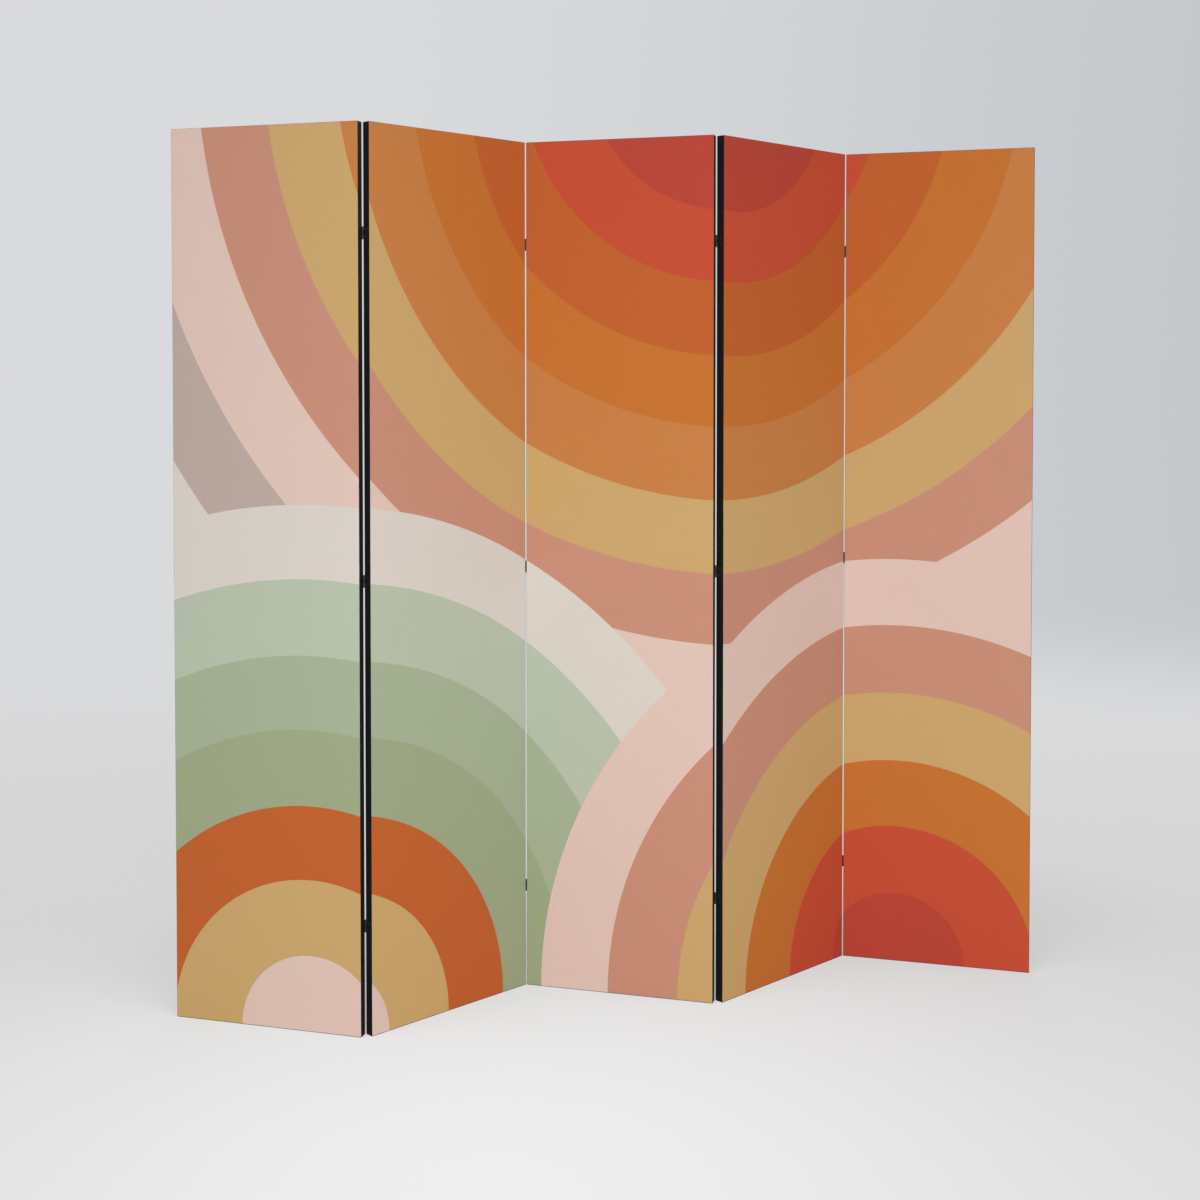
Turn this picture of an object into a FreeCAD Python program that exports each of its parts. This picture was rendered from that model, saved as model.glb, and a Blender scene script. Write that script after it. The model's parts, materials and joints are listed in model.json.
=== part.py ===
import FreeCAD, Part
import math
import os
import Sketcher

# Folding room divider: five canvas panels on tenoned wooden frames, joined edge to edge by butt hinges.
# Black cloth tape covers the panels' side and top edges, and the hinges sit on it.
# The screen stands in a zigzag. +X runs along it, -Y is the front, +Z is up, and the origin is on the
# floor under the middle of the middle panel. Odd panels lean one way in plan and even panels the other.

PANELS = 5
MIDDLE_PANEL = (PANELS + 1) // 2
CROSS_RAILS = 2  # in a panel, between its bottom rail and its top rail
HINGES = 3  # in a joint
KNUCKLES = 3  # in a hinge
HALF_TURN = 180

# A sketch numbers the points of an edge from 1. Its own origin is the start of edge -1, its level axis.
START, END, CENTRE = range(1, 4)
LEVEL_AXIS = -1
ORIGIN = (LEVEL_AXIS, START)

SIZES = (
    # Panel
    ("panel_width", 406, "one panel, edge to edge over its tape"),
    ("panel_height", 1800, "floor to top edge over its tape"),
    ("panel_depth", 19, "over the frame and both canvases"),
    ("canvas_thickness", 0.5, "primed and printed canvas"),
    ("tape_thickness", 0.4, "cloth tape on the edges"),
    ("half_fold", 30, "degrees that each panel leans from the line of the screen"),
    # Frame
    ("stile_width", 38, "upright member, seen from the front"),
    ("rail_width", 38, "level member, seen from the front"),
    ("tenon_length", 20, "stub tenon, shoulder to end"),
    ("tenon_thickness", 6, "across the depth of the frame"),
    ("tenon_shoulder", 6, "step above and below the tenon"),
    ("glue_gap", 0.1, "room for glue round a tenon"),
    # Hinge
    ("hinge_height", 25.4, "leaf, bottom to top"),
    ("hinge_inset", 216, "centre of an end hinge from the end of the panel"),
    ("leaf_depth", 16, "pin axis to the free edge of a leaf"),
    ("leaf_thickness", 0.6, "sheet that the leaf is rolled from"),
    ("pin_radius", 0.55, "hinge pin"),
    ("pin_clearance", 0.05, "between the pin and its knuckles"),
    ("axis_stand", 0.5, "pin axis proud of the face that it folds towards"),
    ("knuckle_gap", 0.1, "between one knuckle and the next, along the pin"),
    ("notch_gap", 0.15, "between a knuckle and the notch in the other leaf"),
    ("roll_mouth", 0.3, "slit between the end of the roll and its own leaf"),
)

# Worked out from the sizes above, as expressions of the document.
FRAME_WIDTH = "(Sizes.panel_width - 2 * Sizes.tape_thickness)"
FRAME_HEIGHT = "(Sizes.panel_height - Sizes.tape_thickness)"
FRAME_DEPTH = "(Sizes.panel_depth - 2 * Sizes.canvas_thickness)"
RAIL_LENGTH = f"({FRAME_WIDTH} - 2 * Sizes.stile_width)"
RAIL_PITCH = f"(({FRAME_HEIGHT} - Sizes.rail_width) / {CROSS_RAILS + 1})"
TENON_HEIGHT = "(Sizes.rail_width - 2 * Sizes.tenon_shoulder)"
BORE_RADIUS = "(Sizes.pin_radius + Sizes.pin_clearance)"
BARREL_RADIUS = f"({BORE_RADIUS} + Sizes.leaf_thickness)"
NOTCH_DEPTH = f"({BARREL_RADIUS} + Sizes.notch_gap)"
KNUCKLE_ZONE = f"(Sizes.hinge_height / {KNUCKLES})"
HINGE_FOOT = "(Sizes.hinge_inset - Sizes.hinge_height / 2)"
HINGE_PITCH = f"((Sizes.panel_height - 2 * Sizes.hinge_inset) / {HINGES - 1})"

# The leaves lie flat on the panels' edges, so the gap in a joint is as wide as a barrel. The pin axis is
# half that gap out from the edge of a panel, and it stands proud of one of its faces.
AXIS_ALONG = f"(Sizes.panel_width / 2 + {BARREL_RADIUS})"
AXIS_ACROSS = "(Sizes.panel_depth / 2 + Sizes.axis_stand)"
# The two axes of a panel are at opposite corners of it, so the panels' centres are in one line.
PANEL_PITCH = f"(2 * {AXIS_ALONG} * cos(Sizes.half_fold) + 2 * {AXIS_ACROSS} * sin(Sizes.half_fold))"


def vector(x, y, z=0):
    return FreeCAD.Vector(x, y, z)


def number(owner, expression):
    """The present value of an expression."""
    return float(owner.evalExpression(expression))


def add_sizes(doc):
    """The sheet of driving dimensions, one row each: name, value, what it measures."""
    sheet = doc.addObject("Spreadsheet::Sheet", "Sizes")
    for row, (name, value, meaning) in enumerate(SIZES, start=1):
        sheet.set(f"A{row}", name)
        sheet.set(f"B{row}", str(value))
        sheet.set(f"C{row}", meaning)
        sheet.setAlias(f"B{row}", name)
    doc.recompute()


def add_body(doc, label):
    body = doc.addObject("PartDesign::Body", label)
    body.Label = label
    return body


def origin_feature(body, role):
    """A plane or an axis of the body's own origin."""
    return next(item for item in body.Origin.OriginFeatures if item.Role == role)


def add_sketch(body, plane, name, up="0", out="0"):
    """A sketch on an origin plane, moved up in that plane and out along its normal."""
    sketch = body.newObject("Sketcher::SketchObject", f"{body.Name}_{name}")
    sketch.AttachmentSupport = [(origin_feature(body, plane), "")]
    sketch.MapMode = "FlatFace"
    sketch.setExpression("AttachmentOffset.Base.y", up)
    sketch.setExpression("AttachmentOffset.Base.z", out)
    return sketch


def constrain(sketch, name, expression, kind, *where):
    """A named dimension of a sketch, bound to an expression."""
    index = sketch.addConstraint(Sketcher.Constraint(kind, *where, number(sketch, expression)))
    sketch.renameConstraint(index, name)
    sketch.setExpression(f"Constraints.{name}", expression)


def join(sketch, *pairs):
    """Makes pairs of points coincide, each point given as its edge and its end."""
    for pair in pairs:
        sketch.addConstraint(Sketcher.Constraint("Coincident", *pair))


def draw_outline(sketch, corners):
    """A closed outline of straight edges, each corner given by the expressions of its two coordinates."""
    places = [vector(number(sketch, x), number(sketch, y)) for x, y in corners]
    for edge, place in enumerate(places):
        sketch.addGeometry(Part.LineSegment(places[edge - 1], place))
    join(sketch, *[(edge - 1, END, edge, START) for edge in range(1, len(corners))])
    join(sketch, (len(corners) - 1, END, 0, START))
    for edge, (x, y) in enumerate(corners):
        constrain(sketch, f"corner_{edge}_x", x, "DistanceX", *ORIGIN, edge, END)
        constrain(sketch, f"corner_{edge}_y", y, "DistanceY", *ORIGIN, edge, END)


def draw_rectangle(sketch, width, height):
    """A rectangle centred on the sketch's origin."""
    draw_outline(
        sketch,
        (
            (f"-{width} / 2", f"-{height} / 2"),
            (f"{width} / 2", f"-{height} / 2"),
            (f"{width} / 2", f"{height} / 2"),
            (f"-{width} / 2", f"{height} / 2"),
        ),
    )


def pad(body, sketch, length, sides="One side"):
    """Pads a sketch along its normal."""
    feature = body.newObject("PartDesign::Pad", f"{sketch.Name}_pad")
    feature.Profile = sketch
    feature.SideType = sides
    feature.setExpression("Length", length)


def pocket(body, sketch, length):
    """Cuts a sketch into the body, against its normal."""
    feature = body.newObject("PartDesign::Pocket", f"{sketch.Name}_pocket")
    feature.Profile = sketch
    feature.setExpression("Length", length)
    return feature


def repeat_up(body, name, pitch, count, feature=None):
    """Repeats a feature upwards, or the whole body where no feature is named."""
    body.Document.recompute()  # the pattern reads the body's present shape
    pattern = body.newObject("PartDesign::LinearPattern", f"{body.Name}_{name}")
    if feature:
        pattern.Originals = [feature]
    else:
        pattern.TransformMode = "Whole shape"
    pattern.Direction = (origin_feature(body, "Z_Axis"), [""])
    pattern.Mode = "Spacing"
    pattern.setExpression("Offset", pitch)
    pattern.Occurrences = count
    body.Tip = pattern


def seat(body, panel, along="0", across="0", up="0", half_turn=False):
    """Places a piece in its panel: along its width, across its depth and up from the floor."""
    lean = "Sizes.half_fold" if panel % 2 == 0 else "(-1 * Sizes.half_fold)"
    body.Placement = FreeCAD.Placement(vector(0, 0), FreeCAD.Rotation(vector(0, 0, 1), 1))
    body.setExpression(
        "Placement.Base.x",
        f"{panel - MIDDLE_PANEL} * {PANEL_PITCH} + {along} * cos({lean}) - {across} * sin({lean})",
    )
    body.setExpression("Placement.Base.y", f"{along} * sin({lean}) + {across} * cos({lean})")
    body.setExpression("Placement.Base.z", up)
    body.setExpression("Placement.Rotation.Angle", f"{lean} + {HALF_TURN}" if half_turn else lean)


def make_stile(doc, panel, side):
    """An upright with a mortise for each rail in its inner edge. A right stile is a left one turned round."""
    body = add_body(doc, f"panel_{panel}_{side}_stile")
    section = add_sketch(body, "XY_Plane", "section")
    draw_rectangle(section, "Sizes.stile_width", FRAME_DEPTH)
    pad(body, section, FRAME_HEIGHT)
    mortise = add_sketch(body, "YZ_Plane", "mortise", up="Sizes.rail_width / 2", out="Sizes.stile_width / 2")
    draw_rectangle(
        mortise, "(Sizes.tenon_thickness + 2 * Sizes.glue_gap)", f"({TENON_HEIGHT} + 2 * Sizes.glue_gap)"
    )
    cut = pocket(body, mortise, "Sizes.tenon_length + Sizes.glue_gap")
    repeat_up(body, "mortises", RAIL_PITCH, CROSS_RAILS + 2, cut)
    inset = f"({FRAME_WIDTH} / 2 - Sizes.stile_width / 2)"
    if side == "left":
        seat(body, panel, along=f"(-1 * {inset})")
    else:
        seat(body, panel, along=inset, half_turn=True)
    return body


def make_rail(doc, panel, name, place):
    """A level member with a stub tenon at each end. Places are counted up from the bottom rail's, place 0."""
    body = add_body(doc, f"panel_{panel}_{name}")
    section = add_sketch(body, "YZ_Plane", "section")
    draw_rectangle(section, FRAME_DEPTH, "Sizes.rail_width")
    pad(body, section, RAIL_LENGTH, "Symmetric")
    tenon = add_sketch(body, "YZ_Plane", "tenon")
    draw_rectangle(tenon, "Sizes.tenon_thickness", TENON_HEIGHT)
    pad(body, tenon, f"{RAIL_LENGTH} + 2 * Sizes.tenon_length", "Symmetric")
    seat(body, panel, up=f"Sizes.rail_width / 2 + {place} * {RAIL_PITCH}")
    return body


def make_canvas(doc, panel, side):
    """A canvas glued to one face of the frame and trimmed flush with its edges."""
    body = add_body(doc, f"panel_{panel}_{side}_canvas")
    sheet = add_sketch(body, "XZ_Plane", "sheet")
    draw_rectangle(sheet, FRAME_WIDTH, FRAME_HEIGHT)
    pad(body, sheet, "Sizes.canvas_thickness", "Symmetric")
    inset = "(Sizes.panel_depth / 2 - Sizes.canvas_thickness / 2)"
    across = f"(-1 * {inset})" if side == "front" else inset
    seat(body, panel, across=across, up=f"{FRAME_HEIGHT} / 2")
    return body


def make_tape(doc, panel):
    """One strip of tape up one side edge, over the top and down the other, as wide as the panel is deep."""
    body = add_body(doc, f"panel_{panel}_edge_tape")
    strip = add_sketch(body, "XZ_Plane", "strip")
    draw_outline(
        strip,
        (
            ("-Sizes.panel_width / 2", "0"),
            (f"-{FRAME_WIDTH} / 2", "0"),
            (f"-{FRAME_WIDTH} / 2", FRAME_HEIGHT),
            (f"{FRAME_WIDTH} / 2", FRAME_HEIGHT),
            (f"{FRAME_WIDTH} / 2", "0"),
            ("Sizes.panel_width / 2", "0"),
            ("Sizes.panel_width / 2", "Sizes.panel_height"),
            ("-Sizes.panel_width / 2", "Sizes.panel_height"),
        ),
    )
    pad(body, strip, "Sizes.panel_depth", "Symmetric")
    seat(body, panel)
    return body


def make_panel(doc, panel):
    return [
        make_stile(doc, panel, "left"),
        make_stile(doc, panel, "right"),
        make_rail(doc, panel, "bottom_rail", 0),
        *[make_rail(doc, panel, f"cross_rail_{place}", place) for place in range(1, CROSS_RAILS + 1)],
        make_rail(doc, panel, "top_rail", CROSS_RAILS + 1),
        make_canvas(doc, panel, "front"),
        make_canvas(doc, panel, "back"),
        make_tape(doc, panel),
    ]


# A hinge is drawn about its pin axis, with the leaves running towards -Y. Hand -1 is the leaf to the left
# of the axis, which has the two end knuckles, and hand 1 is the leaf to the right, with the middle one.
# Odd joints have the pins at the back, with the hand -1 leaf on the left panel. In even joints the pins
# are at the front, and the same hinge is turned half round, so that leaf is on the right panel.


def hinge_hand(joint, side):
    at_back = joint % 2 == 1
    return -1 if (side == "left") == at_back else 1


def seat_on_axis(body, joint, side):
    """Places a piece of a joint, drawn about the pin axis from the foot of the lowest hinge."""
    at_back = joint % 2 == 1
    panel = joint if side == "left" else joint + 1
    along = AXIS_ALONG if side == "left" else f"(-1 * {AXIS_ALONG})"
    across = AXIS_ACROSS if at_back else f"(-1 * {AXIS_ACROSS})"
    seat(body, panel, along, across, HINGE_FOOT, half_turn=not at_back)


def draw_roll(sketch, hand):
    """End view of a knuckle: the leaf comes up to the axis and rolls round it, to a slit short of itself."""
    barrel = number(sketch, BARREL_RADIUS)
    bore = number(sketch, BORE_RADIUS)
    notch = number(sketch, NOTCH_DEPTH)
    lip_x = hand * (bore - number(sketch, "Sizes.roll_mouth"))
    lip_y = -math.sqrt(barrel**2 - lip_x**2)
    lip_angle = math.atan2(lip_y, lip_x)
    span = (lip_angle, math.pi) if hand < 0 else (0, lip_angle + math.tau)
    leaf_end, lip_end = (END, START) if hand < 0 else (START, END)
    outer, inner, back, lip, face, root = range(6)
    for radius in (barrel, bore):
        sketch.addGeometry(Part.ArcOfCircle(Part.Circle(vector(0, 0), vector(0, 0, 1), radius), *span))
    lip_share = bore / barrel
    corners = (
        (vector(hand * barrel, -notch), vector(hand * barrel, 0)),
        (vector(lip_x, lip_y), vector(lip_x * lip_share, lip_y * lip_share)),
        (vector(hand * bore, 0), vector(hand * bore, -notch)),
        (vector(hand * bore, -notch), vector(hand * barrel, -notch)),
    )
    for start, end in corners:
        sketch.addGeometry(Part.LineSegment(start, end))
    join(
        sketch,
        (outer, CENTRE, *ORIGIN),
        (inner, CENTRE, *ORIGIN),
        (outer, leaf_end, back, END),
        (outer, lip_end, lip, START),
        (inner, lip_end, lip, END),
        (inner, leaf_end, face, START),
        (face, END, root, START),
        (root, END, back, START),
    )
    for upright in (back, face):
        sketch.addConstraint(Sketcher.Constraint("Vertical", upright))
    sketch.addConstraint(Sketcher.Constraint("Horizontal", root))
    sketch.addConstraint(Sketcher.Constraint("PointOnObject", back, END, LEVEL_AXIS))
    sketch.addConstraint(Sketcher.Constraint("PointOnObject", face, START, LEVEL_AXIS))
    sketch.addConstraint(Sketcher.Constraint("PointOnObject", *ORIGIN, lip))
    constrain(sketch, "barrel_radius", BARREL_RADIUS, "Radius", outer)
    constrain(sketch, "bore_radius", BORE_RADIUS, "Radius", inner)
    constrain(sketch, "notch_depth", NOTCH_DEPTH, "DistanceY", root, START, *ORIGIN)
    mouth = (face, START, lip, START) if hand < 0 else (lip, START, face, START)
    constrain(sketch, "roll_mouth", "Sizes.roll_mouth", "DistanceX", *mouth)


def make_leaves(doc, joint, side):
    """The leaves of one panel in a joint: sheet, rolled into knuckles along one edge."""
    hand = hinge_hand(joint, side)
    body = add_body(doc, f"joint_{joint}_{joint + 1}_{side}_leaves")
    plate = add_sketch(body, "XY_Plane", "plate")
    draw_outline(
        plate,
        (
            (f"{hand} * {BARREL_RADIUS}", "-1 * Sizes.leaf_depth"),
            (f"{hand} * {BORE_RADIUS}", "-1 * Sizes.leaf_depth"),
            (f"{hand} * {BORE_RADIUS}", f"-1 * {NOTCH_DEPTH}"),
            (f"{hand} * {BARREL_RADIUS}", f"-1 * {NOTCH_DEPTH}"),
        ),
    )
    pad(body, plate, "Sizes.hinge_height")
    first = 0 if hand < 0 else 1
    for knuckle in range(first, KNUCKLES, 2):
        below = "Sizes.knuckle_gap / 2" if knuckle > 0 else "0"
        above = "Sizes.knuckle_gap / 2" if knuckle < KNUCKLES - 1 else "0"
        roll = add_sketch(body, "XY_Plane", f"roll_{knuckle}", out=f"{knuckle} * {KNUCKLE_ZONE} + {below}")
        draw_roll(roll, hand)
        pad(body, roll, f"{KNUCKLE_ZONE} - {below} - {above}")
    repeat_up(body, "hinges", HINGE_PITCH, HINGES)
    seat_on_axis(body, joint, side)
    return body


def make_pins(doc, joint):
    """The pins of a joint, staked in the end knuckles and flush with them."""
    body = add_body(doc, f"joint_{joint}_{joint + 1}_pins")
    section = add_sketch(body, "XY_Plane", "section")
    radius = number(section, "Sizes.pin_radius")
    section.addGeometry(Part.Circle(vector(0, 0), vector(0, 0, 1), radius))
    join(section, (0, CENTRE, *ORIGIN))
    constrain(section, "pin_radius", "Sizes.pin_radius", "Radius", 0)
    pad(body, section, "Sizes.hinge_height")
    repeat_up(body, "hinges", HINGE_PITCH, HINGES)
    seat_on_axis(body, joint, "left")
    return body


def make_joint(doc, joint):
    return [
        make_leaves(doc, joint, "left"),
        make_leaves(doc, joint, "right"),
        make_pins(doc, joint),
    ]


def check(doc, pieces):
    """Stops if anything in the document failed, or if a piece has no sound solid."""
    for item in doc.Objects:
        if "Invalid" in item.State or "Error" in item.State:
            raise RuntimeError(f"{item.Label} failed: {item.State}")
    for piece in pieces:
        if piece.Shape.isNull() or not piece.Shape.isValid() or not piece.Shape.Solids:
            raise RuntimeError(f"{piece.Label} has no sound solid")


def main():
    os.makedirs("parts", exist_ok=True)
    doc = FreeCAD.newDocument("room_divider")
    add_sizes(doc)
    pieces = []
    for panel in range(1, PANELS + 1):
        pieces += make_panel(doc, panel)
    for joint in range(1, PANELS):
        pieces += make_joint(doc, joint)
    doc.recompute()
    check(doc, pieces)
    for piece in pieces:
        piece.Shape.exportStep(f"parts/{piece.Label}.step")
        print(piece.Label, len(piece.Shape.Solids), "solids", round(piece.Shape.Volume, 1), "mm3")


main()
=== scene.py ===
import json
import math

import bmesh
import bpy
import numpy as np
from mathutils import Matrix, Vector

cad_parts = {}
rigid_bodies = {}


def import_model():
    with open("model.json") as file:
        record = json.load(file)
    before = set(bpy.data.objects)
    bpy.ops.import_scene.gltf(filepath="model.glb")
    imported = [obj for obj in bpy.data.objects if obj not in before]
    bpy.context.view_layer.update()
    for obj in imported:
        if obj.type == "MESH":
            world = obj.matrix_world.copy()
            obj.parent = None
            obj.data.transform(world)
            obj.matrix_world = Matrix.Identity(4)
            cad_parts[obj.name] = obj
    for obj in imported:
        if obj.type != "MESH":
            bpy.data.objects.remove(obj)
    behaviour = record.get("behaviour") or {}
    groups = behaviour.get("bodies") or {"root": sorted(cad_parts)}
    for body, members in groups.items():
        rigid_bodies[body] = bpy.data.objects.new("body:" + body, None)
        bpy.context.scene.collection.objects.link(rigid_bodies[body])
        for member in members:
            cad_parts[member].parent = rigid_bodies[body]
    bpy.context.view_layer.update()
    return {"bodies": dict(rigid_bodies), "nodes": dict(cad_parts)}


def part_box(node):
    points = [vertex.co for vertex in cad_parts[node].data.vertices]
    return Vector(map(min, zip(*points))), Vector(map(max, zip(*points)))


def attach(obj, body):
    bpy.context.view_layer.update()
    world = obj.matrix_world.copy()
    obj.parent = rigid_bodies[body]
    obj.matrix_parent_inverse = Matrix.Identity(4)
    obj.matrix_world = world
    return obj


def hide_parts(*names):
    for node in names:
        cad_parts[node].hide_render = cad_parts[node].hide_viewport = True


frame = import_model()

# The screen is five equal panels that stand in a zigzag, each hinged to the next. Inside each is a frame of
# planed pine, with sticks 38 mm wide and 18 mm deep: two stiles, a bottom rail, two cross rails and a top
# rail, tenoned into mortises and glued. Canvas and tape hide all but their undersides.
STILES = ("left_stile", "right_stile")
RAILS = ("bottom_rail", "cross_rail_1", "cross_rail_2", "top_rail")
PINE_EARLY = (0.68, 0.46, 0.24)
PINE_LATE = (0.42, 0.22, 0.085)
PINE_SHADE = (0.88, 1.12)
PINE_ROUGHNESS = (0.5, 0.7)
PINE_GLOSS = 0.3
RING_PITCH = 0.0032
RING_SHARPNESS = 5
RING_WAVE = 0.012
RING_WAVE_SCALE = 25
GRAIN_SCALE = 900
GRAIN_DRAWN_OUT = 0.02
GRAIN_HEIGHT = 0.00006
PITH_NEAR = 0.02
PITH_FAR = 0.07
TREE_SEED = 11
UP = np.array((0.0, 0.0, 1.0))


class Panel:
    """One panel of the screen. Every piece is set out in its own panel's directions, in metres: along the
    panel from its middle, across it towards the back, and up from the floor. The frame gives the way from
    these to the room's."""

    def __init__(self, number):
        self.number = number
        self.body = f"panel_{number}"
        stiles = [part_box(f"{self.body}_{side}_stile") for side in ("left", "right")]
        left, right = (np.array((low + high) / 2) for low, high in stiles)
        self.along = (right - left) / np.linalg.norm(right - left)
        self.lean = math.atan2(self.along[1], self.along[0])
        self.directions = np.stack((self.along, np.cross(UP, self.along), UP))
        self.foot = (left + right) / 2 * (1, 1, 0)
        low, high = self.extent(f"{self.body}_edge_tape")
        self.width, self.depth, self.height = high - low

    def corners(self, node):
        """The corners of a CAD node, in the panel's own directions."""
        vertices = frame["nodes"][node].data.vertices
        points = np.empty(len(vertices) * 3, np.float32)
        vertices.foreach_get("co", points)
        return (points.reshape(-1, 3) - self.foot) @ self.directions.T

    def extent(self, node):
        """The lowest and the highest corner of a CAD node, in the panel's own directions."""
        points = self.corners(node)
        return points.min(axis=0), points.max(axis=0)

    def at(self, along, across, up):
        """The room's points for arrays of places in the panel."""
        return np.stack(np.broadcast_arrays(along, across, up), axis=-1) @ self.directions + self.foot


panels = [Panel(number + 1) for number in range(len(frame["bodies"]))]


class Socket:
    """A socket of a material. A sum on it adds its Math node, and node() adds any other node."""

    def __init__(self, tree, socket=None):
        self.tree = tree
        self.socket = socket

    def node(self, kind, settings=None, inputs=None, output=0):
        """Adds a node: its settings first, then the values or links of its sockets. Gives one output."""
        node = self.tree.nodes.new(kind)
        for name, value in (settings or {}).items():
            if name == "stops":
                set_stops(node.color_ramp, value)
            else:
                setattr(node, name, value)
        for name, value in (inputs or {}).items():
            if isinstance(value, Socket):
                self.tree.links.new(value.socket, node.inputs[name])
            else:
                node.inputs[name].default_value = value
        return Socket(self.tree, node.outputs[output] if node.outputs else None)

    def output(self, name):
        """Another output of the same node."""
        return Socket(self.tree, self.socket.node.outputs[name])

    def math(self, operation, *values):
        """A Math node on these sockets and numbers."""
        return self.node("ShaderNodeMath", {"operation": operation}, dict(enumerate(values)))

    def __add__(self, other):
        return self.math("ADD", self, other)

    def __sub__(self, other):
        return self.math("SUBTRACT", self, other)

    def __rsub__(self, other):
        return self.math("SUBTRACT", other, self)

    def __mul__(self, other):
        return self.math("MULTIPLY", self, other)

    def __truediv__(self, other):
        return self.math("DIVIDE", self, other)

    def __mod__(self, other):
        return self.math("FLOORED_MODULO", self, other)

    def __pow__(self, other):
        return self.math("POWER", self, other)

    def __lt__(self, other):
        return self.math("LESS_THAN", self, other)

    def __abs__(self):
        return self.math("ABSOLUTE", self)

    __radd__ = __add__
    __rmul__ = __mul__

    def sine(self):
        return self.math("SINE", self)

    def ranging(self, first, last):
        """A number that is the first where this is 0 and the last where this is 1, and in line between."""
        return first + (last - first) * self

    def eased(self, low, high):
        """0 up to low, 1 from high on, and a smooth step between them."""
        ends = {"Value": self, "From Min": low, "From Max": high}
        return self.node("ShaderNodeMapRange", {"interpolation_type": "SMOOTHSTEP"}, ends)

    def part(self, name):
        """The part of this vector along X, Y or Z."""
        return self.node("ShaderNodeSeparateXYZ", {}, {"Vector": self}, name)

    def scaled(self, *factors):
        """This vector with each part times its own number."""
        return self.node("ShaderNodeVectorMath", {"operation": "MULTIPLY"}, {0: self, 1: factors})

    def distance(self, *place):
        """How far this place is from another."""
        return self.node("ShaderNodeVectorMath", {"operation": "DISTANCE"}, {0: self, 1: place}, "Value")

    def noise(self, scale, detail=2.0):
        """Smooth noise at this place, mostly from 0.3 to 0.7."""
        return self.node("ShaderNodeTexNoise", {}, {"Vector": self, "Scale": scale, "Detail": detail})

    def between(self, first, second):
        """The colour this far from one colour to another, each a socket or a linear colour. The node takes
        them at its sockets 6 and 7, and gives a colour at 2."""
        first, second = (c if isinstance(c, Socket) else (*c, 1.0) for c in (first, second))
        return self.node("ShaderNodeMix", {"data_type": "RGBA"}, {0: self, 6: first, 7: second}, 2)

    def shaded(self, factor):
        """This colour made lighter or darker by a factor."""
        return self.node("ShaderNodeVectorMath", {"operation": "SCALE"}, {0: self, "Scale": factor})

    def raised(self, height):
        """The surface's normal where this makes it rise, by a height in metres where it is 1."""
        return self.node("ShaderNodeBump", {}, {"Height": self, "Distance": height})


def set_stops(ramp, stops):
    """Gives a colour ramp sharp steps: each stop is the place where its colour starts, and the colour."""
    ramp.interpolation = "CONSTANT"
    while len(ramp.elements) < len(stops):
        ramp.elements.new(1.0)
    for element, (place, colour) in zip(ramp.elements, stops):
        element.position = place
        element.color = (*colour, 1.0)


def new_finish(name):
    """An empty material, and a start from which its nodes are written."""
    material = bpy.data.materials.new(name)
    material.use_nodes = True
    material.node_tree.nodes.clear()
    return material, Socket(material.node_tree)


def close_finish(start, **inputs):
    """Ends a material with its shader. A socket's name has _ for each space."""
    sockets = {name.replace("_", " "): value for name, value in inputs.items()}
    colour = sockets["Base Color"]
    if not isinstance(colour, Socket):
        sockets["Base Color"] = (*colour, 1.0)
    shader = start.node("ShaderNodeBsdfPrincipled", {}, sockets)
    start.node("ShaderNodeOutputMaterial", {}, {"Surface": shader})


def wear(piece, material):
    """Gives a piece its one material."""
    piece.data.materials.clear()
    piece.data.materials.append(material)


def pine(name, pith, turn):
    """Pine of one stick. Its rings are steps of the distance from the pith, a line that runs the way of the
    stick, and they darken slowly and stop sharply, as a power of the share of a ring. The grain is noise
    drawn out along the stick."""
    material, start = new_finish(name)
    room = start.node("ShaderNodeTexCoord", output="Object")
    places = {"Vector": room, "Location": pith, "Rotation": turn}
    stick = start.node("ShaderNodeMapping", {"vector_type": "TEXTURE"}, places)
    drawn_out = stick.scaled(1, 1, GRAIN_DRAWN_OUT)
    wave = drawn_out.noise(RING_WAVE_SCALE) * RING_WAVE
    ring = (stick.scaled(1, 1, 0).distance(0, 0, 0) + wave) / RING_PITCH % 1
    colour = (ring**RING_SHARPNESS).between(PINE_EARLY, PINE_LATE)
    grain = drawn_out.noise(GRAIN_SCALE)
    close_finish(
        start,
        Base_Color=colour.shaded(grain.ranging(*PINE_SHADE)),
        Roughness=grain.ranging(*PINE_ROUGHNESS),
        Specular_IOR_Level=PINE_GLOSS,
        Normal=grain.raised(GRAIN_HEIGHT),
    )
    return material


def fit_pine(panel, stick, tree):
    """Each stick is cut from another place in the tree, so its pith lies at another distance and side."""
    node = f"{panel.body}_{stick}"
    low, high = panel.extent(node)
    along, across, up = (low + high) / 2
    away = tree.uniform(PITH_NEAR, PITH_FAR)
    side = tree.uniform(0, math.tau)
    if stick in RAILS:
        pith = panel.at(along, across + away * math.sin(side), up + away * math.cos(side))
        turn = (0, math.pi / 2, panel.lean)
    else:
        pith = panel.at(along + away * math.cos(side), across + away * math.sin(side), up)
        turn = (0, 0, panel.lean)
    wear(frame["nodes"][node], pine(f"pine_{node}", pith, turn))


tree = np.random.default_rng(TREE_SEED)
for panel in panels:
    for stick in STILES + RAILS:
        fit_pine(panel, stick, tree)

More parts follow.
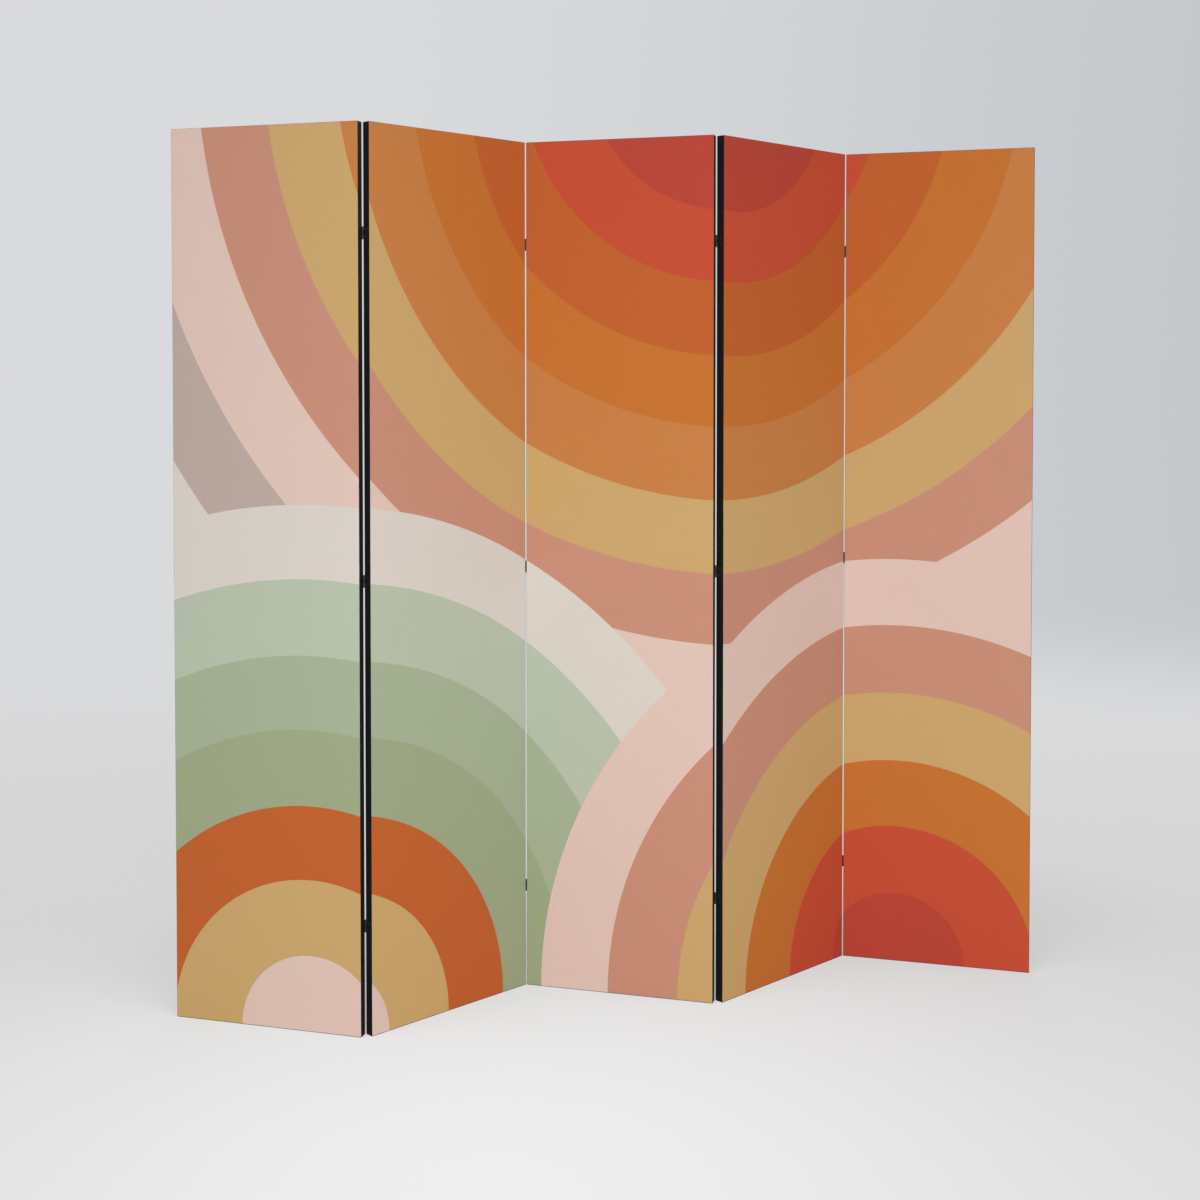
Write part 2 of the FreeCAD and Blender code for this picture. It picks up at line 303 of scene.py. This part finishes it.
# A canvas is glued on each face of the frame: cotton in plain weave, primed, printed and trimmed flush, with
# a thin black line painted along its lower edge, part seal and part painted shadow of the foot on the floor.
# It dips a little where it spans the openings between sticks.
# The picture, a generic one of round bands, runs on from panel to panel, and the back has it as well.
CLOTH_DIP = 0.0004
CLOTH_DIP_REACH = 0.02
CLOTH_STEP = 0.01
CLOTH_RIM = 0.0003
THREAD_PITCH = 0.0009
THREAD_HEIGHT = 0.0001
THREAD_RISE = 0.6
SLUB_SCALE = 700
SLUB_DRAWN_OUT = 0.02
SLUB_HEIGHT = 0.6
LOWEST_PRINT_LEVEL = 0.91
WEAVE_HOLLOW_SHADE = 0.05
INK_ON_WARP = 0.06
INK_ON_WEFT = 0.04
INK_DRIFT = 0.02
INK_DRIFT_SCALE = 7
CANVAS_ROUGHNESS = (0.9, 0.78)
CANVAS_GLOSS = 0.22
SEAL_AND_FOOT_SHADOW_HEIGHT = 0.001
SEAL_AND_FOOT_SHADOW_BLACK = (0.02, 0.02, 0.021)
BAND = 0.15


def linear(*colour):
    """A colour written in screen values from 0 to 255, as light, by the curve of screens: a straight foot,
    and a power of 2.4 above it."""
    shares = np.array(colour) / 255
    bright = ((shares + 0.055) / 1.055) ** 2.4
    return tuple(float(light) for light in np.where(shares > 0.04045, bright, shares / 12.92))


DEEP_RED = linear(186, 70, 53)
RED_ORANGE = linear(199, 79, 51)
BURNT_ORANGE = linear(194, 98, 44)
ORANGE = linear(199, 115, 47)
CARAMEL = linear(200, 128, 68)
SAND = linear(204, 167, 110)
ROSE = linear(201, 143, 120)
BLUSH = linear(225, 197, 185)
MAUVE = linear(190, 170, 162)
OFF_WHITE = linear(219, 211, 202)
LIGHT_SAGE = linear(185, 195, 173)
MID_SAGE = linear(167, 180, 150)
SAGE = linear(159, 170, 134)
# Each set of round bands: its middle, in metres along and up the whole sheet, and its colours from there
# outwards. A later set lies over an earlier one.
SUN_BANDS = (DEEP_RED, DEEP_RED, RED_ORANGE, BURNT_ORANGE, ORANGE, CARAMEL, SAND, ROSE, BLUSH, MAUVE)
SUN = ((1.26, 1.95), SUN_BANDS)
LEFT_HILL = ((0.30, 0.0), (BLUSH, SAND, BURNT_ORANGE, SAGE, MID_SAGE, LIGHT_SAGE, OFF_WHITE))
RIGHT_HILL = ((1.75, 0.0), (DEEP_RED, RED_ORANGE, ORANGE, SAND, ROSE, BLUSH))


def picture(place):
    """The colour of the print at a place on the whole sheet: each set of bands is steps of the distance from
    its middle, as far out as its last band."""
    colour = OFF_WHITE
    for middle, bands in (SUN, LEFT_HILL, RIGHT_HILL):
        reach = place.distance(*middle, 0)
        stops = [(step / len(bands), band) for step, band in enumerate(bands)]
        ring = reach.node("ShaderNodeValToRGB", {"stops": stops}, {"Fac": reach / (BAND * len(bands))})
        colour = (reach < BAND * len(bands)).between(colour, ring)
    return colour


def woven(place):
    """The height of a plain weave, from 0 to 1: the higher of the warp and the weft. Each thread is a half
    wave across. It rises over the other and dips under it in turn, as the product of both waves."""
    warp, weft = ((place.part(name) * (math.pi / THREAD_PITCH)).sine() for name in "XY")
    rise = THREAD_RISE * warp * weft
    return warp.math("MAXIMUM", abs(warp) + rise, abs(weft) - rise) / (1 + THREAD_RISE)


def printed_canvas():
    """Threads have slubs, or thicker runs, which are noise drawn out along the warp and along the weft. The
    print is darker in the hollows of the weave, a painted shade, and the depth of its ink drifts slowly over
    the sheet."""
    material, start = new_finish("printed_canvas")
    place = start.node("ShaderNodeUVMap", {"uv_map": "print"})
    weave = woven(place)
    warp = place.scaled(1, SLUB_DRAWN_OUT, 1).noise(SLUB_SCALE)
    weft = place.scaled(SLUB_DRAWN_OUT, 1, 1).noise(SLUB_SCALE)
    # The weave term is painted shade, darker in the hollows of the weave. The slub and drift terms are the
    # cloth's and the ink's own tone.
    ink_and_hollow_shade = LOWEST_PRINT_LEVEL + WEAVE_HOLLOW_SHADE * weave + INK_ON_WARP * warp + INK_ON_WEFT * weft
    ink_and_hollow_shade += INK_DRIFT * place.noise(INK_DRIFT_SCALE)
    # The black line along the lower edge is part seal and part painted shadow where the foot meets the
    # floor.
    sealed_and_foot_shadow = place.part("Y") < SEAL_AND_FOOT_SHADOW_HEIGHT
    close_finish(
        start,
        Base_Color=sealed_and_foot_shadow.between(picture(place).shaded(ink_and_hollow_shade), SEAL_AND_FOOT_SHADOW_BLACK),
        Roughness=weave.ranging(*CANVAS_ROUGHNESS),
        Specular_IOR_Level=CANVAS_GLOSS,
        Normal=(weave + SLUB_HEIGHT * (warp + weft)).raised(THREAD_HEIGHT),
    )
    return material


def surface(name, points, places, thickness):
    """A sheet on a grid of points, rows by columns, whose UV map holds its places in metres. Its thickness
    lies behind it."""
    rows, columns = points.shape[:2]
    corner = np.arange(rows * columns).reshape(rows, columns)
    faces = (corner[:-1, :-1], corner[:-1, 1:], corner[1:, 1:], corner[1:, :-1])
    faces = np.stack(faces, axis=-1).reshape(-1, 4)
    mesh = bpy.data.meshes.new(name)
    mesh.from_pydata(points.reshape(-1, 3).tolist(), [], faces.tolist())
    on_corners = places.reshape(-1, 2)[faces.ravel()]
    mesh.uv_layers.new(name="print").uv.foreach_set("vector", on_corners.astype(np.float32).ravel())
    mesh.shade_smooth()
    piece = bpy.data.objects.new(name, mesh)
    bpy.context.collection.objects.link(piece)
    body = piece.modifiers.new("thickness", "SOLIDIFY")
    body.thickness = thickness
    body.offset = -1
    return piece


def grid_lines(low, high, step, rim):
    """Lines a step apart from one edge of a sheet to the other, with one more beside each edge."""
    inner = np.linspace(low + rim, high - rim, round((high - low) / step) + 1)
    return np.concatenate(((low,), inner, (high,)))


def dip(panel, along, up):
    """How far the cloth dips: nothing over a stick, and towards the full dip away from one, as 1 less the
    exponential of the distance, sideways times upwards."""
    half_opening = panel.extent(f"{panel.body}_right_stile")[0][0]
    rails = [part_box(f"{panel.body}_{rail}") for rail in RAILS]
    spans = [(below[1].z, above[0].z) for below, above in zip(rails, rails[1:])]
    sideways = np.clip(half_opening - abs(along), 0, None)
    upwards = np.max([np.clip(np.minimum(up - low, high - up), 0, None) for low, high in spans], axis=0)
    full_share = (1 - np.exp(-sideways / CLOTH_DIP_REACH)) * (1 - np.exp(-upwards / CLOTH_DIP_REACH))
    return CLOTH_DIP * full_share


PANEL_STEP = 2 * panels[0].corners("joint_1_2_pins")[:, 0].mean()
SHEET_WIDTH = PANEL_STEP * len(panels)


def make_canvas(panel, face, finish):
    """The cloth on one face. Its picture is read from the left as one stands before that face."""
    node = f"{panel.body}_{face}_canvas"
    low, high = panel.extent(node)
    outward = -1 if face == "front" else 1
    along, up = np.meshgrid(
        grid_lines(low[0], high[0], CLOTH_STEP, CLOTH_RIM) * -outward,
        grid_lines(low[2], high[2], CLOTH_STEP, CLOTH_RIM),
    )
    points = panel.at(along, outward * (panel.depth / 2 - dip(panel, along, up)), up)
    middle = (panel.number - 0.5) * PANEL_STEP
    read_from = middle if face == "front" else SHEET_WIDTH - middle
    places = np.stack((read_from - outward * along, up), axis=-1)
    piece = surface(f"{panel.body}_{face}_print", points, places, high[1] - low[1])
    wear(piece, finish)
    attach(piece, panel.body)
    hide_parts(node)
    high[0] - low[0]
    high[2] - low[2]


canvas_finish = printed_canvas()
for panel in panels:
    make_canvas(panel, "front", canvas_finish)
    make_canvas(panel, "back", canvas_finish)

# The edges of a panel are bound with one strip of black cotton tape as wide as the panel is deep. It is
# glued up one side, over the top and down the other side, and it hides the edges of the canvases.
TAPE_CORNER = 0.0008
TAPE_RIM = 0.0003
TAPE_PRESSED = 0.00012
TAPE_PRESSED_REACH = 0.0008
TAPE_STEPS = 9
RIB_PITCH = 0.0007
RIB_SLANT = 0.5
RIB_HEIGHT = 0.00008
LINT_SCALE = 1400
LINT_DETAIL = 3.0
LINT_SHARPNESS = 4
LINT_HEIGHT = 0.4
TAPE_BLACK = (0.006, 0.006, 0.0066)
TAPE_LINT = (0.03, 0.03, 0.032)
TAPE_GROOVE_SHADE = (0.8, 1.15)
TAPE_ROUGHNESS = (0.62, 0.82)
TAPE_GLOSS = 0.15


def black_tape():
    """Cotton twill, with ribs that climb across the strip as half waves. Its colour is darker in the grooves
    between the ribs, a painted shade. A little lint shows on it, as a power of noise."""
    material, start = new_finish("black_tape")
    place = start.node("ShaderNodeUVMap", {"uv_map": "print"})
    rib = abs(((place.part("X") + RIB_SLANT * place.part("Y")) / RIB_PITCH * math.pi).sine())
    lint = place.noise(LINT_SCALE, LINT_DETAIL)
    colour = (lint**LINT_SHARPNESS).between(TAPE_BLACK, TAPE_LINT)
    close_finish(
        start,
        # The rib factor paints shade into the grooves between the ribs.
        Base_Color=colour.shaded(rib.ranging(*TAPE_GROOVE_SHADE)),
        Roughness=lint.ranging(*TAPE_ROUGHNESS),
        Specular_IOR_Level=TAPE_GLOSS,
        Normal=(rib + LINT_HEIGHT * lint).raised(RIB_HEIGHT),
    )
    return material


def tape_path(panel):
    """The strip's outer line as places along and up the panel, and the outward direction at each: up one
    side, a quarter turn round each top corner, and down the other side."""
    rise = np.linspace(0, math.pi / 2, TAPE_STEPS)
    turn_out = np.stack((-np.cos(rise), np.sin(rise)), axis=-1)
    turn = turn_out * TAPE_CORNER + (TAPE_CORNER - panel.width / 2, panel.height - TAPE_CORNER)
    side = np.array(((-panel.width / 2, 0), (-panel.width / 2, TAPE_RIM)))
    left = np.concatenate((side, turn))
    left_out = np.concatenate((((-1, 0), (-1, 0)), turn_out))
    mirror = np.array((-1, 1))
    return np.concatenate((left, left[::-1] * mirror)), np.concatenate((left_out, left_out[::-1] * mirror))


def make_tape(panel, finish):
    """The strip is its outer line carried across the depth of the panel. Its long edges are pressed down, as
    the square of the distance past the line where the pressed part starts."""
    node = f"{panel.body}_edge_tape"
    line, outward = tape_path(panel)
    run = np.concatenate(((0,), np.cumsum(np.linalg.norm(np.diff(line, axis=0), axis=1))))
    edge = panel.depth / 2 - np.linspace(0, TAPE_PRESSED_REACH, TAPE_STEPS)
    width = np.concatenate((edge, -edge[::-1]))
    past = np.clip((abs(width) - panel.depth / 2) / TAPE_PRESSED_REACH + 1, 0, None)
    pressed = TAPE_PRESSED * past[None, :, None] ** 2 * outward[:, None, :]
    along, up = np.moveaxis(line[:, None, :] - pressed, -1, 0)
    places = np.stack(np.broadcast_arrays(run[:, None], width[None, :]), axis=-1)
    under = panel.extent(f"{panel.body}_front_canvas")[1][0]
    points = panel.at(along, width[None, :], up)
    piece = surface(f"{panel.body}_edge_strip", points, places, panel.width / 2 - under)
    wear(piece, finish)
    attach(piece, panel.body)
    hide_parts(node)


tape_finish = black_tape()
for panel in panels:
    make_tape(panel, tape_finish)

# Three small butt hinges hold each joint: steel leaves rolled round a pin, in black satin enamel. The
# enamel has a faint orange peel, and is rubbed in a few places. The leaves lie on the tape, in the gap.
ENAMEL = (0.009, 0.009, 0.0095)
PIN_ENAMEL = (0.014, 0.014, 0.015)
RUBBED = (0.022, 0.021, 0.02)
RUBBED_SCALE = 420
RUBBED_DETAIL = 4.0
RUBBED_EDGE = (0.58, 0.75)
ENAMEL_ROUGHNESS = (0.34, 0.5)
PEEL_SCALE = 1500
PEEL_HEIGHT = 0.00001


def enamel(name, colour):
    """Enamel of one colour, rubbed where a fine noise is high."""
    material, start = new_finish(name)
    room = start.node("ShaderNodeTexCoord", output="Object")
    rubbed = room.noise(RUBBED_SCALE, RUBBED_DETAIL).eased(*RUBBED_EDGE)
    peel = room.noise(PEEL_SCALE)
    close_finish(
        start,
        Base_Color=rubbed.between(colour, RUBBED),
        Roughness=peel.ranging(*ENAMEL_ROUGHNESS),
        Normal=peel.raised(PEEL_HEIGHT),
    )
    return material


leaf_finish = enamel("black_enamel", ENAMEL)
pin_finish = enamel("pin_enamel", PIN_ENAMEL)
joints = [(left, right, f"joint_{left.number}_{right.number}") for left, right in zip(panels, panels[1:])]
for left, right, joint in joints:
    for leaves in ("left_leaves", "right_leaves"):
        wear(frame["nodes"][f"{joint}_{leaves}"], leaf_finish)
    wear(frame["nodes"][f"{joint}_pins"], pin_finish)

# Two cross-head wood screws fix each leaf to the stile beneath it, near the leaf's ends. They are blackened
# steel, sunk through the leaf and the tape, so that only a low dome stands proud of the leaf.
SCREW_HEAD = 0.0021
SCREW_DOME = 0.00025
SCREW_CONE = 0.0013
SCREW_SHANK = 0.0009
SCREW_LENGTH = 0.012
SCREW_POINT_FROM = 0.8
SCREW_FROM_AXIS = 0.010
SCREW_FROM_END = 0.006
LEAF_THICKNESS = 0.0006
RECESS_HALF_WIDTH = 0.00032
RECESS_REACH = 0.0014
RECESS_DEPTH = 0.0006
RECESS_SLOPE = 0.00015
SCREW_RINGS = 10
SCREW_SIDES = 32
PIN_DIGITS = 5
SAME_PLACE = 1e-7
SHARP_ANGLE = 40
BLACKENED = (0.11, 0.108, 0.105)
BURNISH_SCALE = 2500
SCREW_ROUGHNESS = (0.24, 0.54)
DRIVER_SEED = 7


def blackened_steel():
    """Steel with a thin black oxide, a little brighter where the driver has burnished it."""
    material, start = new_finish("blackened_steel")
    burnish = start.node("ShaderNodeTexCoord", output="Object").noise(BURNISH_SCALE)
    close_finish(start, Base_Color=BLACKENED, Metallic=1.0, Roughness=burnish.ranging(*SCREW_ROUGHNESS))
    return material


def screw_shape():
    """One screw about its own axis, as rings by sides: a dome of r squared with a cross pressed into it, a
    cone, a shank and a point. The cross is as deep as a place is far inside both of its edges."""
    share = np.linspace(0, 1, SCREW_RINGS)
    radius = np.concatenate((SCREW_HEAD * share, (SCREW_SHANK, SCREW_SHANK, 0)))
    point_from = -SCREW_POINT_FROM * SCREW_LENGTH
    height = np.concatenate((SCREW_DOME * (1 - share**2), (-SCREW_CONE, point_from, -SCREW_LENGTH)))
    side = np.linspace(0, math.tau, SCREW_SIDES + 1)
    x, y = radius[:, None] * np.cos(side), radius[:, None] * np.sin(side)
    narrow, wide = np.minimum(abs(x), abs(y)), np.maximum(abs(x), abs(y))
    inside = np.minimum(RECESS_HALF_WIDTH - narrow, RECESS_REACH - wide) / RECESS_SLOPE
    on_head = (height >= 0)[:, None]
    return x, y, height[:, None] - RECESS_DEPTH * np.clip(inside, 0, 1) * on_head


def closed_forms(name, grids):
    """One piece of several closed forms, each a grid of points that meets itself at its seam and poles."""
    count, rows, columns = grids.shape[:3]
    corner = np.arange(count * rows * columns).reshape(count, rows, columns)
    near, far = corner[:, :-1], corner[:, 1:]
    faces = (near[..., :-1], near[..., 1:], far[..., 1:], far[..., :-1])
    faces = np.stack(faces, axis=-1).reshape(-1, 4)
    mesh = bpy.data.meshes.new(name)
    mesh.from_pydata(grids.reshape(-1, 3).tolist(), [], faces.tolist())
    shape = bmesh.new()
    shape.from_mesh(mesh)
    bmesh.ops.remove_doubles(shape, verts=shape.verts, dist=SAME_PLACE)
    bmesh.ops.recalc_face_normals(shape, faces=shape.faces)
    shape.to_mesh(mesh)
    shape.free()
    mesh.shade_smooth()
    mesh.set_sharp_from_angle(angle=math.radians(SHARP_ANGLE))
    piece = bpy.data.objects.new(name, mesh)
    bpy.context.collection.objects.link(piece)
    return piece


def make_screws(panel, joint, side, outward, finish, driver):
    """The six screws of one panel in a joint, each turned as the driver left it. Their heights are measured
    from the ends of the pins, which are as long as the leaves."""
    pins = panel.corners(f"{joint}_pins")
    ends = np.unique(np.round(pins[:, 2], PIN_DIGITS)).reshape(-1, 2)
    ups = np.concatenate((ends[:, 0] + SCREW_FROM_END, ends[:, 1] - SCREW_FROM_END))
    across = pins[:, 1].mean()
    across -= math.copysign(SCREW_FROM_AXIS, across)
    x, y, height = screw_shape()
    places = []
    for up, turn in zip(ups, driver.uniform(0, math.tau, len(ups))):
        sideways = x * math.cos(turn) - y * math.sin(turn)
        upwards = x * math.sin(turn) + y * math.cos(turn)
        along = outward * (panel.width / 2 + LEAF_THICKNESS + height)
        places.append(panel.at(along, across + sideways, up + upwards))
    piece = closed_forms(f"{joint}_{side}_screws", np.array(places))
    wear(piece, finish)
    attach(piece, panel.body)


screw_finish = blackened_steel()
driver = np.random.default_rng(DRIVER_SEED)
for left, right, joint in joints:
    make_screws(left, joint, "left", 1, screw_finish, driver)
    make_screws(right, joint, "right", -1, screw_finish, driver)

# The screen stands on a pale studio floor that runs up into an even backdrop. A pool of light is painted on
# the floor before the screen, with a painted shadow behind the screen, and beyond it the floor fades out
# into the backdrop, so no edge shows between them.
FLOOR_REACH = 14.0
FLOOR_COLOUR = linear(238, 238, 239)
POOL_PLACE = (-0.41, -0.75, 0.0)
POOL_REACH = 1.9
POOL_GLOW = 0.92
FLOOR_GLOW = 0.7
GLOW_SHARE = 0.85
SHADOW_FROM = (-0.2, -0.93, 0.3)
SHADOW_REACH = 0.9
SHADOW_DEPTH = 0.65
SHADOW_SAMPLES = 4
FADE_FROM = 1.5
FADE_TO = 5.0
BACKDROP_LIGHT = linear(217, 218, 220)
BACKDROP_SHADE = linear(192, 196, 200)
SHADE_ACROSS = (0.05, 0.75)
SHADE_UP = (-0.2, -0.12)
ROOM_LEVEL = 0.36


def in_view(start):
    """1 for the rays that show the room as it looks, and 0 for those that only carry its light."""
    camera = start.node("ShaderNodeLightPath", output="Is Camera Ray")
    mirrored = camera.math("MAXIMUM", camera, camera.output("Is Glossy Ray"))
    return camera.math("MAXIMUM", mirrored, camera.output("Is Transmission Ray"))


def studio_floor():
    """A matt floor. What is seen of it is mostly glow: a painted pool of light, by the distance from its
    middle, and a painted shadow, less glow where the screen stands between a place and the front of the
    room."""
    material, start = new_finish("studio_floor")
    place = start.node("ShaderNodeTexCoord", output="Object")
    matt = start.node("ShaderNodeBsdfDiffuse", {}, {"Color": (*FLOOR_COLOUR, 1.0)})
    front = start.node("ShaderNodeCombineXYZ", {}, dict(zip("XYZ", SHADOW_FROM)))
    reach = {"Distance": SHADOW_REACH, "Normal": front}
    # Painted shadow: the glow is lowered where ambient occlusion towards the front of the room finds the
    # screen.
    clear = start.node("ShaderNodeAmbientOcclusion", {"samples": SHADOW_SAMPLES}, reach, "AO")
    pool = place.distance(*POOL_PLACE).eased(0, POOL_REACH).ranging(POOL_GLOW, FLOOR_GLOW)
    painted_pool_and_shadow = pool * clear.ranging(1 - SHADOW_DEPTH, 1)
    glow = start.node("ShaderNodeEmission", {}, {"Color": painted_pool_and_shadow})
    floor = start.node("ShaderNodeMixShader", {}, {0: in_view(start) * GLOW_SHARE, 1: matt, 2: glow})
    beyond = start.node("ShaderNodeBsdfTransparent")
    fade = place.distance(0, 0, 0).eased(FADE_FROM, FADE_TO)
    mixed = start.node("ShaderNodeMixShader", {}, {0: fade, 1: floor, 2: beyond})
    start.node("ShaderNodeOutputMaterial", {}, {"Surface": mixed})
    return material


def studio_backdrop():
    """The backdrop is shaded towards the upper right of the room, and lights the screen evenly."""
    world = bpy.data.worlds.new("studio")
    bpy.context.scene.world = world
    world.use_nodes = True
    world.node_tree.nodes.clear()
    start = Socket(world.node_tree)
    towards = start.node("ShaderNodeTexCoord", output="Generated")
    shade = towards.part("X").eased(*SHADE_ACROSS) * towards.part("Z").eased(*SHADE_UP)
    seen = shade.between(BACKDROP_LIGHT, BACKDROP_SHADE)
    colour = in_view(start).between((ROOM_LEVEL,) * 3, seen)
    backdrop = start.node("ShaderNodeBackground", {}, {"Color": colour, "Strength": 1.0})
    start.node("ShaderNodeOutputWorld", {}, {"Surface": backdrop})


def make_floor():
    """A square that reaches well past the place where the floor has faded out."""
    mesh = bpy.data.meshes.new("floor")
    corners = [(x * FLOOR_REACH, y * FLOOR_REACH, 0) for x, y in ((-1, -1), (1, -1), (1, 1), (-1, 1))]
    mesh.from_pydata(corners, [], [(0, 1, 2, 3)])
    floor = bpy.data.objects.new("floor", mesh)
    bpy.context.collection.objects.link(floor)
    wear(floor, studio_floor())


studio_backdrop()
make_floor()

# A large soft lamp shines on the front from behind the camera and nearly in line with it, a little above the
# screen's middle, so that the light is even from top to bottom. A larger one, higher up and further off,
# lights the back.
KEY_PLACE = (-0.8, -4.3, 1.1)
KEY_SIZE = 2.0
KEY_POWER = 116
FILL_PLACE = (2.5, 6.0, 2.4)
FILL_SIZE = 3.0
FILL_POWER = 200
LAMP_AIM = (0.0, 0.0, 0.9)


def make_lamp(name, place, size, power):
    """A round lamp that points at the middle of the screen and isn't seen itself."""
    lamp = bpy.data.lights.new(name, "AREA")
    lamp.shape = "DISK"
    lamp.size = size
    lamp.energy = power
    holder = bpy.data.objects.new(name, lamp)
    holder.location = place
    holder.rotation_euler = (Vector(LAMP_AIM) - Vector(place)).to_track_quat("-Z", "Y").to_euler()
    holder.visible_camera = False
    bpy.context.collection.objects.link(holder)


make_lamp("key", KEY_PLACE, KEY_SIZE, KEY_POWER)
make_lamp("fill", FILL_PLACE, FILL_SIZE, FILL_POWER)

# The camera stands about where the photograph's did, 3.5 m from the screen and 1.3 m up. The photograph's
# was level, with more shift. This one looks down a little instead, so that more of the other views hold the
# whole screen.
CAMERA_PLACE = (-0.893, -3.3418, 1.2823)
CAMERA_TURN = 14.278
CAMERA_DOWN = 1.562
CAMERA_LENS = 49.43
CAMERA_SHIFT = -0.14

camera = bpy.data.objects.new("camera", bpy.data.cameras.new("camera"))
camera.location = CAMERA_PLACE
camera.rotation_euler = (math.radians(90 - CAMERA_DOWN), 0, math.radians(-CAMERA_TURN))
camera.data.lens = CAMERA_LENS
camera.data.shift_y = CAMERA_SHIFT
bpy.context.collection.objects.link(camera)
bpy.context.scene.camera = camera
bpy.context.scene.view_settings.view_transform = "Standard"
